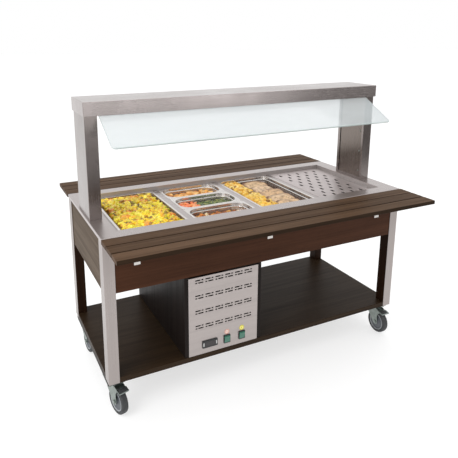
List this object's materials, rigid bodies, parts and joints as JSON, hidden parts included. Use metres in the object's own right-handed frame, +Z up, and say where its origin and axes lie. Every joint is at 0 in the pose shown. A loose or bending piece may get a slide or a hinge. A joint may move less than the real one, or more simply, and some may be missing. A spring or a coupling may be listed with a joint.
{
  "type": "heated buffet display cart",
  "caption": "Mobile heated buffet display cart: stainless well with lift-out GN pans, canopy with sloping glass screen, wooden fold-down tray slides and a machine box on a lower shelf.",
  "frame": {"origin": "on the floor, under the middle of the overall box", "axes": "+X along the length to the right as seen from the glass-screen side, +Y from that side to the back, +Z up"},
  "size_m": [1.596, 1.118, 1.364],
  "materials": {
    "stainless": "satin brushed stainless sheet",
    "stainless_dark": "darker stainless inside the posts and the well",
    "pan_steel": "bright deep-drawn stainless",
    "laminate_wenge": "dark wenge laminate, satin",
    "laminate_black": "near-black laminate, satin",
    "plank_wood": "dark grey-brown stained wood, satin",
    "bracket_steel": "plain stainless",
    "mineral_wool": "matte mineral wool",
    "valve_brass": "plain brass",
    "lever_black": "dipped black",
    "black_plastic": "matte black",
    "key_grey": "matte grey",
    "rocker_green": "glossy green, lit from within",
    "reflector_white": "white enamel",
    "lamp_glass": "frosted white glass",
    "holder_white": "white plastic",
    "screen_glass": "clear tempered glass with ground edges",
    "rail_aluminium": "anodised aluminium",
    "zinc": "zinc plated",
    "wheel_rubber": "dark rubber",
    "rail_painted": "dark paint, satin",
    "pedal_steel": "zinc plated"
  },
  "bodies": {
    "cart_frame": {"leg_angles": "stainless", "leg_posts": "laminate_black", "deck_top": "stainless", "well_tank": "stainless", "divider_bars": "stainless", "well_insulation": "mineral_wool", "tank_under_cover": "stainless", "heating_element": "stainless_dark", "temperature_probe": "stainless_dark", "drain_valve": "valve_brass", "apron_front": "laminate_wenge", "apron_rear": "laminate_wenge", "side_aprons": "laminate_wenge", "lower_shelf": "laminate_wenge", "caster_rails": "rail_painted", "caster_bolts": "zinc", "box_sides": "laminate_wenge", "box_back": "laminate_wenge", "control_panel": "stainless", "thermostat_housing": "black_plastic", "switch_bezels": "black_plastic", "contactor": "black_plastic", "cable_gland": "black_plastic", "post_left": "stainless", "post_right": "stainless", "post_covers": "stainless_dark", "cover_screws": "stainless", "canopy_shell": "stainless", "lamp_reflector": "reflector_white", "lamp_tube": "lamp_glass", "lamp_holders": "holder_white", "glass_screen": "screen_glass", "glass_rail": "rail_aluminium", "tray_brackets": "bracket_steel", "caster_plates": "zinc"},
    "tray_front": {"tray_front_planks": "plank_wood", "tray_front_arms": "bracket_steel"},
    "tray_rear": {"tray_rear_planks": "plank_wood", "tray_rear_arms": "bracket_steel"},
    "caster_front_left": {"caster_fork_front_left": "zinc"},
    "wheel_front_left": {"caster_wheel_front_left": "wheel_rubber"},
    "pedal_front_left": {"brake_pedal_front_left": "pedal_steel"},
    "caster_front_right": {"caster_fork_front_right": "zinc"},
    "wheel_front_right": {"caster_wheel_front_right": "wheel_rubber"},
    "pedal_front_right": {"brake_pedal_front_right": "pedal_steel"},
    "caster_rear_left": {"caster_fork_rear_left": "zinc"},
    "wheel_rear_left": {"caster_wheel_rear_left": "wheel_rubber"},
    "caster_rear_right": {"caster_fork_rear_right": "zinc"},
    "wheel_rear_right": {"caster_wheel_rear_right": "wheel_rubber"},
    "rocker_heat_body": {"rocker_heat": "rocker_green"},
    "rocker_light_body": {"rocker_light": "rocker_green"},
    "key_left_body": {"key_left": "key_grey"},
    "key_right_body": {"key_right": "key_grey"},
    "drain_lever_body": {"drain_lever": "lever_black"},
    "pan_full_left_body": {"pan_full_left": "pan_steel"},
    "pan_third_rear_body": {"pan_third_rear": "pan_steel"},
    "pan_third_middle_body": {"pan_third_middle": "pan_steel"},
    "pan_third_front_body": {"pan_third_front": "pan_steel"},
    "pan_full_right_body": {"pan_full_right": "pan_steel"},
    "perforated_plate_body": {"perforated_plate": "pan_steel"}
  },
  "joints": [
    {"name": "tray_front_fold", "type": "hinge", "parent": "cart_frame", "child": "tray_front", "pos_m": [0, -0.347, 0.802], "axis": [1, 0, 0], "range_deg": [0, 90]},
    {"name": "tray_rear_fold", "type": "hinge", "parent": "cart_frame", "child": "tray_rear", "pos_m": [0, 0.347, 0.802], "axis": [-1, 0, 0], "range_deg": [0, 90]},
    {"name": "swivel_front_left", "type": "hinge", "parent": "cart_frame", "child": "caster_front_left", "pos_m": [-0.755, -0.258, 0.14], "axis": [0, 0, 1], "continuous": true},
    {"name": "roll_front_left", "type": "hinge", "parent": "caster_front_left", "child": "wheel_front_left", "pos_m": [-0.74581, -0.29487, 0.0625], "axis": [0.9703, 0.2419, 0], "continuous": true},
    {"name": "brake_front_left", "type": "hinge", "parent": "caster_front_left", "child": "pedal_front_left", "pos_m": [-0.74629, -0.29293, 0.134], "axis": [0.9703, 0.2419, 0], "range_deg": [0, 12]},
    {"name": "swivel_front_right", "type": "hinge", "parent": "cart_frame", "child": "caster_front_right", "pos_m": [0.755, -0.258, 0.14], "axis": [0, 0, 1], "continuous": true},
    {"name": "roll_front_right", "type": "hinge", "parent": "caster_front_right", "child": "wheel_front_right", "pos_m": [0.755, -0.296, 0.0625], "axis": [1, 0, 0], "continuous": true},
    {"name": "brake_front_right", "type": "hinge", "parent": "caster_front_right", "child": "pedal_front_right", "pos_m": [0.755, -0.294, 0.134], "axis": [1, 0, 0], "range_deg": [0, 12]},
    {"name": "swivel_rear_left", "type": "hinge", "parent": "cart_frame", "child": "caster_rear_left", "pos_m": [-0.755, 0.258, 0.14], "axis": [0, 0, 1], "continuous": true},
    {"name": "roll_rear_left", "type": "hinge", "parent": "caster_rear_left", "child": "wheel_rear_left", "pos_m": [-0.75103, 0.22021, 0.0625], "axis": [0.9945, 0.1045, 0], "continuous": true},
    {"name": "swivel_rear_right", "type": "hinge", "parent": "cart_frame", "child": "caster_rear_right", "pos_m": [0.755, 0.258, 0.14], "axis": [0, 0, 1], "continuous": true},
    {"name": "roll_rear_right", "type": "hinge", "parent": "caster_rear_right", "child": "wheel_rear_right", "pos_m": [0.76355, 0.22097, 0.0625], "axis": [0.9744, 0.225, 0], "continuous": true},
    {"name": "rocker_heat_tip", "type": "hinge", "parent": "cart_frame", "child": "rocker_heat_body", "pos_m": [-0.225, -0.328, 0.2415], "axis": [-1, 0, 0], "range_deg": [0, 18]},
    {"name": "rocker_light_tip", "type": "hinge", "parent": "cart_frame", "child": "rocker_light_body", "pos_m": [-0.146, -0.328, 0.2415], "axis": [-1, 0, 0], "range_deg": [0, 18]},
    {"name": "key_left_press", "type": "slide", "parent": "cart_frame", "child": "key_left_body", "axis": [0, 1, 0], "range_m": [0, 0.0008], "stiffness_N_per_m": 400, "springref_m": -0.001},
    {"name": "key_right_press", "type": "slide", "parent": "cart_frame", "child": "key_right_body", "axis": [0, 1, 0], "range_m": [0, 0.0008], "stiffness_N_per_m": 400, "springref_m": -0.001},
    {"name": "drain_turn", "type": "hinge", "parent": "cart_frame", "child": "drain_lever_body", "pos_m": [0.25, 0.234, 0.55], "axis": [0, 1, 0], "range_deg": [0, 90]},
    {"name": "lift_pan_full_left", "type": "slide", "parent": "cart_frame", "child": "pan_full_left_body", "axis": [0, 0, 1], "range_m": [0, 0.15]},
    {"name": "lift_pan_third_rear", "type": "slide", "parent": "cart_frame", "child": "pan_third_rear_body", "axis": [0, 0, 1], "range_m": [0, 0.15]},
    {"name": "lift_pan_third_middle", "type": "slide", "parent": "cart_frame", "child": "pan_third_middle_body", "axis": [0, 0, 1], "range_m": [0, 0.15]},
    {"name": "lift_pan_third_front", "type": "slide", "parent": "cart_frame", "child": "pan_third_front_body", "axis": [0, 0, 1], "range_m": [0, 0.15]},
    {"name": "lift_pan_full_right", "type": "slide", "parent": "cart_frame", "child": "pan_full_right_body", "axis": [0, 0, 1], "range_m": [0, 0.15]},
    {"name": "lift_perforated_plate", "type": "slide", "parent": "cart_frame", "child": "perforated_plate_body", "axis": [0, 0, 1], "range_m": [0, 0.15]}
  ]
}
